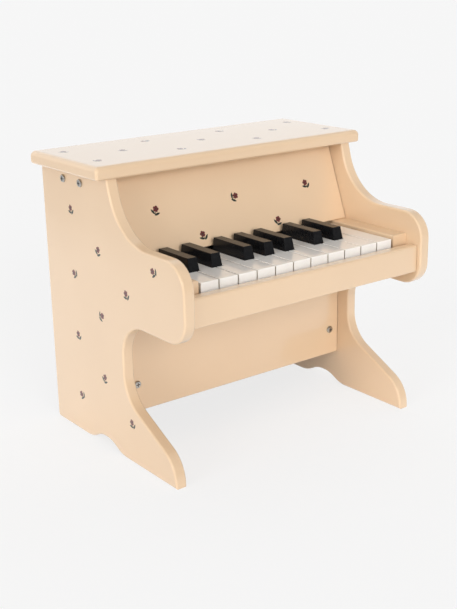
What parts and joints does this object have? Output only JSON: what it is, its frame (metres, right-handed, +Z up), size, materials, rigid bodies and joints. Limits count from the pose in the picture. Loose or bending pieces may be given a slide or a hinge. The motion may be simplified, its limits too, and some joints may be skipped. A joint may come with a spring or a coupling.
{
  "type": "toy piano",
  "caption": "Small upright toy piano: shaped cheeks, flat lid, sprung keys on a rod that throw hammers against pinned steel tone bars.",
  "frame": {"origin": "on the floor under the middle of the bounding box of the cabinet", "axes": "+Z up; +X to the player's right, along the keyboard; +Y from the player to the back panel"},
  "size_m": [0.344, 0.256, 0.302],
  "materials": {
    "cream_lacquer": "glossy cream lacquer",
    "white_key_lacquer": "satin white lacquer",
    "black_key_lacquer": "glossy black lacquer",
    "bare_wood": "sanded, unpainted",
    "back_board": "plain fibreboard",
    "steel": "drawn wire",
    "bar_steel": "bright ground bars",
    "spring_steel": "blued strip",
    "screw_plating": "bright nickel plate",
    "felt": "pressed wool felt",
    "hammer_plastic": "moulded, matt"
  },
  "bodies": {
    "cabinet": {"left_cheek": "cream_lacquer", "right_cheek": "cream_lacquer", "lid": "cream_lacquer", "upper_front_panel": "cream_lacquer", "lower_front_panel": "cream_lacquer", "back_panel": "back_board", "key_slip": "cream_lacquer", "key_bed": "bare_wood", "key_blocks": "cream_lacquer", "key_rod": "steel", "key_stop_felt": "felt", "key_rest_rail": "bare_wood", "key_rest_felt": "felt", "key_spring_comb": "spring_steel", "hammer_rod": "steel", "hammer_blocks": "bare_wood", "tone_bars": "bar_steel", "tone_bar_pins": "steel", "tone_bar_rails": "bare_wood", "tone_bar_felts": "felt", "lid_battens": "bare_wood", "lower_panel_cleats": "bare_wood", "cheek_screws": "screw_plating", "lower_panel_screws": "screw_plating"},
    "key_c1": {"white_key_c1": "white_key_lacquer"},
    "key_cs1": {"black_key_cs1": "black_key_lacquer"},
    "key_d1": {"white_key_d1": "white_key_lacquer"},
    "key_ds1": {"black_key_ds1": "black_key_lacquer"},
    "key_e1": {"white_key_e1": "white_key_lacquer"},
    "key_f1": {"white_key_f1": "white_key_lacquer"},
    "key_fs1": {"black_key_fs1": "black_key_lacquer"},
    "key_g1": {"white_key_g1": "white_key_lacquer"},
    "key_gs1": {"black_key_gs1": "black_key_lacquer"},
    "key_a1": {"white_key_a1": "white_key_lacquer"},
    "key_as1": {"black_key_as1": "black_key_lacquer"},
    "key_b1": {"white_key_b1": "white_key_lacquer"},
    "key_c2": {"white_key_c2": "white_key_lacquer"},
    "key_cs2": {"black_key_cs2": "black_key_lacquer"},
    "key_d2": {"white_key_d2": "white_key_lacquer"},
    "key_ds2": {"black_key_ds2": "black_key_lacquer"},
    "key_e2": {"white_key_e2": "white_key_lacquer"},
    "key_f2": {"white_key_f2": "white_key_lacquer"},
    "hammer_c1": {"hammer_c1": "hammer_plastic"},
    "hammer_cs1": {"hammer_cs1": "hammer_plastic"},
    "hammer_d1": {"hammer_d1": "hammer_plastic"},
    "hammer_ds1": {"hammer_ds1": "hammer_plastic"},
    "hammer_e1": {"hammer_e1": "hammer_plastic"},
    "hammer_f1": {"hammer_f1": "hammer_plastic"},
    "hammer_fs1": {"hammer_fs1": "hammer_plastic"},
    "hammer_g1": {"hammer_g1": "hammer_plastic"},
    "hammer_gs1": {"hammer_gs1": "hammer_plastic"},
    "hammer_a1": {"hammer_a1": "hammer_plastic"},
    "hammer_as1": {"hammer_as1": "hammer_plastic"},
    "hammer_b1": {"hammer_b1": "hammer_plastic"},
    "hammer_c2": {"hammer_c2": "hammer_plastic"},
    "hammer_cs2": {"hammer_cs2": "hammer_plastic"},
    "hammer_d2": {"hammer_d2": "hammer_plastic"},
    "hammer_ds2": {"hammer_ds2": "hammer_plastic"},
    "hammer_e2": {"hammer_e2": "hammer_plastic"},
    "hammer_f2": {"hammer_f2": "hammer_plastic"}
  },
  "joints": [
    {"name": "key_c1_press", "type": "hinge", "parent": "cabinet", "child": "key_c1", "pos_m": [0, 0.004, 0.1955], "axis": [1, 0, 0], "range_deg": [0, 4], "stiffness_Nm_per_rad": 0.215, "springref_deg": -10.66, "deforming": ["key_spring_comb"]},
    {"name": "key_cs1_press", "type": "hinge", "parent": "cabinet", "child": "key_cs1", "pos_m": [0, 0.004, 0.1955], "axis": [1, 0, 0], "range_deg": [0, 4], "stiffness_Nm_per_rad": 0.215, "springref_deg": -10.66, "deforming": ["key_spring_comb"]},
    {"name": "key_d1_press", "type": "hinge", "parent": "cabinet", "child": "key_d1", "pos_m": [0, 0.004, 0.1955], "axis": [1, 0, 0], "range_deg": [0, 4], "stiffness_Nm_per_rad": 0.215, "springref_deg": -10.66, "deforming": ["key_spring_comb"]},
    {"name": "key_ds1_press", "type": "hinge", "parent": "cabinet", "child": "key_ds1", "pos_m": [0, 0.004, 0.1955], "axis": [1, 0, 0], "range_deg": [0, 4], "stiffness_Nm_per_rad": 0.215, "springref_deg": -10.66, "deforming": ["key_spring_comb"]},
    {"name": "key_e1_press", "type": "hinge", "parent": "cabinet", "child": "key_e1", "pos_m": [0, 0.004, 0.1955], "axis": [1, 0, 0], "range_deg": [0, 4], "stiffness_Nm_per_rad": 0.215, "springref_deg": -10.66, "deforming": ["key_spring_comb"]},
    {"name": "key_f1_press", "type": "hinge", "parent": "cabinet", "child": "key_f1", "pos_m": [0, 0.004, 0.1955], "axis": [1, 0, 0], "range_deg": [0, 4], "stiffness_Nm_per_rad": 0.215, "springref_deg": -10.66, "deforming": ["key_spring_comb"]},
    {"name": "key_fs1_press", "type": "hinge", "parent": "cabinet", "child": "key_fs1", "pos_m": [0, 0.004, 0.1955], "axis": [1, 0, 0], "range_deg": [0, 4], "stiffness_Nm_per_rad": 0.215, "springref_deg": -10.66, "deforming": ["key_spring_comb"]},
    {"name": "key_g1_press", "type": "hinge", "parent": "cabinet", "child": "key_g1", "pos_m": [0, 0.004, 0.1955], "axis": [1, 0, 0], "range_deg": [0, 4], "stiffness_Nm_per_rad": 0.215, "springref_deg": -10.66, "deforming": ["key_spring_comb"]},
    {"name": "key_gs1_press", "type": "hinge", "parent": "cabinet", "child": "key_gs1", "pos_m": [0, 0.004, 0.1955], "axis": [1, 0, 0], "range_deg": [0, 4], "stiffness_Nm_per_rad": 0.215, "springref_deg": -10.66, "deforming": ["key_spring_comb"]},
    {"name": "key_a1_press", "type": "hinge", "parent": "cabinet", "child": "key_a1", "pos_m": [0, 0.004, 0.1955], "axis": [1, 0, 0], "range_deg": [0, 4], "stiffness_Nm_per_rad": 0.215, "springref_deg": -10.66, "deforming": ["key_spring_comb"]},
    {"name": "key_as1_press", "type": "hinge", "parent": "cabinet", "child": "key_as1", "pos_m": [0, 0.004, 0.1955], "axis": [1, 0, 0], "range_deg": [0, 4], "stiffness_Nm_per_rad": 0.215, "springref_deg": -10.66, "deforming": ["key_spring_comb"]},
    {"name": "key_b1_press", "type": "hinge", "parent": "cabinet", "child": "key_b1", "pos_m": [0, 0.004, 0.1955], "axis": [1, 0, 0], "range_deg": [0, 4], "stiffness_Nm_per_rad": 0.215, "springref_deg": -10.66, "deforming": ["key_spring_comb"]},
    {"name": "key_c2_press", "type": "hinge", "parent": "cabinet", "child": "key_c2", "pos_m": [0, 0.004, 0.1955], "axis": [1, 0, 0], "range_deg": [0, 4], "stiffness_Nm_per_rad": 0.215, "springref_deg": -10.66, "deforming": ["key_spring_comb"]},
    {"name": "key_cs2_press", "type": "hinge", "parent": "cabinet", "child": "key_cs2", "pos_m": [0, 0.004, 0.1955], "axis": [1, 0, 0], "range_deg": [0, 4], "stiffness_Nm_per_rad": 0.215, "springref_deg": -10.66, "deforming": ["key_spring_comb"]},
    {"name": "key_d2_press", "type": "hinge", "parent": "cabinet", "child": "key_d2", "pos_m": [0, 0.004, 0.1955], "axis": [1, 0, 0], "range_deg": [0, 4], "stiffness_Nm_per_rad": 0.215, "springref_deg": -10.66, "deforming": ["key_spring_comb"]},
    {"name": "key_ds2_press", "type": "hinge", "parent": "cabinet", "child": "key_ds2", "pos_m": [0, 0.004, 0.1955], "axis": [1, 0, 0], "range_deg": [0, 4], "stiffness_Nm_per_rad": 0.215, "springref_deg": -10.66, "deforming": ["key_spring_comb"]},
    {"name": "key_e2_press", "type": "hinge", "parent": "cabinet", "child": "key_e2", "pos_m": [0, 0.004, 0.1955], "axis": [1, 0, 0], "range_deg": [0, 4], "stiffness_Nm_per_rad": 0.215, "springref_deg": -10.66, "deforming": ["key_spring_comb"]},
    {"name": "key_f2_press", "type": "hinge", "parent": "cabinet", "child": "key_f2", "pos_m": [0, 0.004, 0.1955], "axis": [1, 0, 0], "range_deg": [0, 4], "stiffness_Nm_per_rad": 0.215, "springref_deg": -10.66, "deforming": ["key_spring_comb"]},
    {"name": "hammer_c1_throw", "type": "hinge", "parent": "cabinet", "child": "hammer_c1", "pos_m": [0, 0.112, 0.209], "axis": [-1, 0, 0], "range_deg": [0, 12.75]},
    {"name": "hammer_cs1_throw", "type": "hinge", "parent": "cabinet", "child": "hammer_cs1", "pos_m": [0, 0.112, 0.209], "axis": [-1, 0, 0], "range_deg": [0, 12.75]},
    {"name": "hammer_d1_throw", "type": "hinge", "parent": "cabinet", "child": "hammer_d1", "pos_m": [0, 0.112, 0.209], "axis": [-1, 0, 0], "range_deg": [0, 12.75]},
    {"name": "hammer_ds1_throw", "type": "hinge", "parent": "cabinet", "child": "hammer_ds1", "pos_m": [0, 0.112, 0.209], "axis": [-1, 0, 0], "range_deg": [0, 12.75]},
    {"name": "hammer_e1_throw", "type": "hinge", "parent": "cabinet", "child": "hammer_e1", "pos_m": [0, 0.112, 0.209], "axis": [-1, 0, 0], "range_deg": [0, 12.75]},
    {"name": "hammer_f1_throw", "type": "hinge", "parent": "cabinet", "child": "hammer_f1", "pos_m": [0, 0.112, 0.209], "axis": [-1, 0, 0], "range_deg": [0, 12.75]},
    {"name": "hammer_fs1_throw", "type": "hinge", "parent": "cabinet", "child": "hammer_fs1", "pos_m": [0, 0.112, 0.209], "axis": [-1, 0, 0], "range_deg": [0, 12.75]},
    {"name": "hammer_g1_throw", "type": "hinge", "parent": "cabinet", "child": "hammer_g1", "pos_m": [0, 0.112, 0.209], "axis": [-1, 0, 0], "range_deg": [0, 12.75]},
    {"name": "hammer_gs1_throw", "type": "hinge", "parent": "cabinet", "child": "hammer_gs1", "pos_m": [0, 0.112, 0.209], "axis": [-1, 0, 0], "range_deg": [0, 12.75]},
    {"name": "hammer_a1_throw", "type": "hinge", "parent": "cabinet", "child": "hammer_a1", "pos_m": [0, 0.112, 0.209], "axis": [-1, 0, 0], "range_deg": [0, 12.75]},
    {"name": "hammer_as1_throw", "type": "hinge", "parent": "cabinet", "child": "hammer_as1", "pos_m": [0, 0.112, 0.209], "axis": [-1, 0, 0], "range_deg": [0, 12.75]},
    {"name": "hammer_b1_throw", "type": "hinge", "parent": "cabinet", "child": "hammer_b1", "pos_m": [0, 0.112, 0.209], "axis": [-1, 0, 0], "range_deg": [0, 12.75]},
    {"name": "hammer_c2_throw", "type": "hinge", "parent": "cabinet", "child": "hammer_c2", "pos_m": [0, 0.112, 0.209], "axis": [-1, 0, 0], "range_deg": [0, 12.75]},
    {"name": "hammer_cs2_throw", "type": "hinge", "parent": "cabinet", "child": "hammer_cs2", "pos_m": [0, 0.112, 0.209], "axis": [-1, 0, 0], "range_deg": [0, 12.75]},
    {"name": "hammer_d2_throw", "type": "hinge", "parent": "cabinet", "child": "hammer_d2", "pos_m": [0, 0.112, 0.209], "axis": [-1, 0, 0], "range_deg": [0, 12.75]},
    {"name": "hammer_ds2_throw", "type": "hinge", "parent": "cabinet", "child": "hammer_ds2", "pos_m": [0, 0.112, 0.209], "axis": [-1, 0, 0], "range_deg": [0, 12.75]},
    {"name": "hammer_e2_throw", "type": "hinge", "parent": "cabinet", "child": "hammer_e2", "pos_m": [0, 0.112, 0.209], "axis": [-1, 0, 0], "range_deg": [0, 12.75]},
    {"name": "hammer_f2_throw", "type": "hinge", "parent": "cabinet", "child": "hammer_f2", "pos_m": [0, 0.112, 0.209], "axis": [-1, 0, 0], "range_deg": [0, 12.75]}
  ],
  "couplings": [
    {"joint": "hammer_c1_throw", "follows": "key_c1_press", "ratio": 3.175},
    {"joint": "hammer_cs1_throw", "follows": "key_cs1_press", "ratio": 3.175},
    {"joint": "hammer_d1_throw", "follows": "key_d1_press", "ratio": 3.175},
    {"joint": "hammer_ds1_throw", "follows": "key_ds1_press", "ratio": 3.175},
    {"joint": "hammer_e1_throw", "follows": "key_e1_press", "ratio": 3.175},
    {"joint": "hammer_f1_throw", "follows": "key_f1_press", "ratio": 3.175},
    {"joint": "hammer_fs1_throw", "follows": "key_fs1_press", "ratio": 3.175},
    {"joint": "hammer_g1_throw", "follows": "key_g1_press", "ratio": 3.175},
    {"joint": "hammer_gs1_throw", "follows": "key_gs1_press", "ratio": 3.175},
    {"joint": "hammer_a1_throw", "follows": "key_a1_press", "ratio": 3.175},
    {"joint": "hammer_as1_throw", "follows": "key_as1_press", "ratio": 3.175},
    {"joint": "hammer_b1_throw", "follows": "key_b1_press", "ratio": 3.175},
    {"joint": "hammer_c2_throw", "follows": "key_c2_press", "ratio": 3.175},
    {"joint": "hammer_cs2_throw", "follows": "key_cs2_press", "ratio": 3.175},
    {"joint": "hammer_d2_throw", "follows": "key_d2_press", "ratio": 3.175},
    {"joint": "hammer_ds2_throw", "follows": "key_ds2_press", "ratio": 3.175},
    {"joint": "hammer_e2_throw", "follows": "key_e2_press", "ratio": 3.175},
    {"joint": "hammer_f2_throw", "follows": "key_f2_press", "ratio": 3.175}
  ]
}
